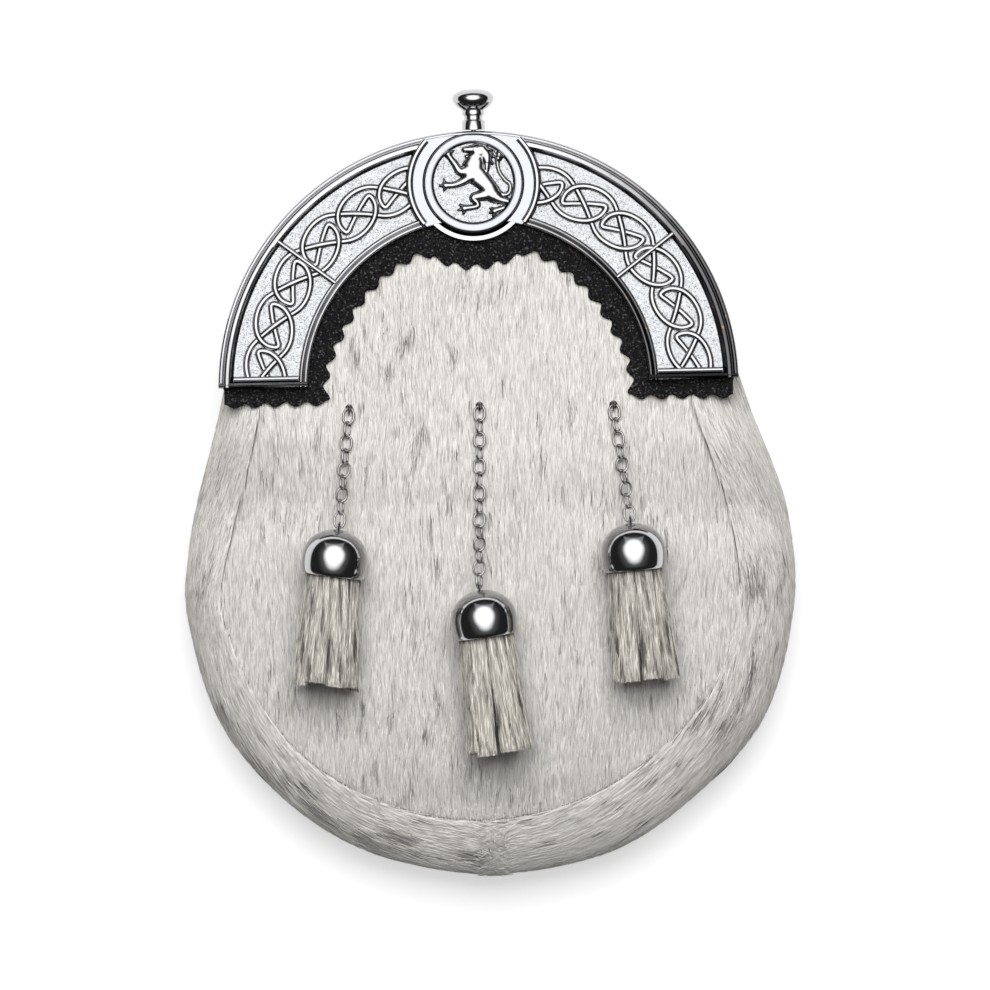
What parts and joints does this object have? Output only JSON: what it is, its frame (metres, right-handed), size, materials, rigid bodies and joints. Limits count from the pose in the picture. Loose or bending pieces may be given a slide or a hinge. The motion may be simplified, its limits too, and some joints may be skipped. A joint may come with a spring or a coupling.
{
  "type": "sporran pouch",
  "caption": "Kidney-shaped hide pouch with a raised gusset, a cast arch with knotwork and a lion boss, scalloped leather, chains with bells and hide tassels, and belt loops on the back.",
  "frame": {"origin": "centre of the bounding box's base, on the surface that the pouch's back lies on", "axes": "+Z out of the front, +Y towards the knob at the top, +X to the right as the front is seen"},
  "size_m": [0.1892, 0.2455, 0.0581],
  "materials": {
    "hide": "hair-on hide, light warm grey with brown-grey flecks",
    "tassel_hide": "cream and brown hair-on hide strips",
    "black_leather": "black grained leather",
    "chrome": "polished cast metal, stippled ground in the reliefs"
  },
  "bodies": {
    "root": {"front_panel": "hide", "gusset": "hide", "back_panel": "black_leather", "belt_loop_left": "black_leather", "belt_loop_right": "black_leather", "cantle_leather": "black_leather", "cantle": "chrome", "top_knob": "chrome", "staple_left": "chrome", "chain_left": "chrome", "bell_left": "chrome", "tassel_left": "tassel_hide", "staple_center": "chrome", "chain_center": "chrome", "bell_center": "chrome", "tassel_center": "tassel_hide", "staple_right": "chrome", "chain_right": "chrome", "bell_right": "chrome", "tassel_right": "tassel_hide"}
  },
  "joints": []
}
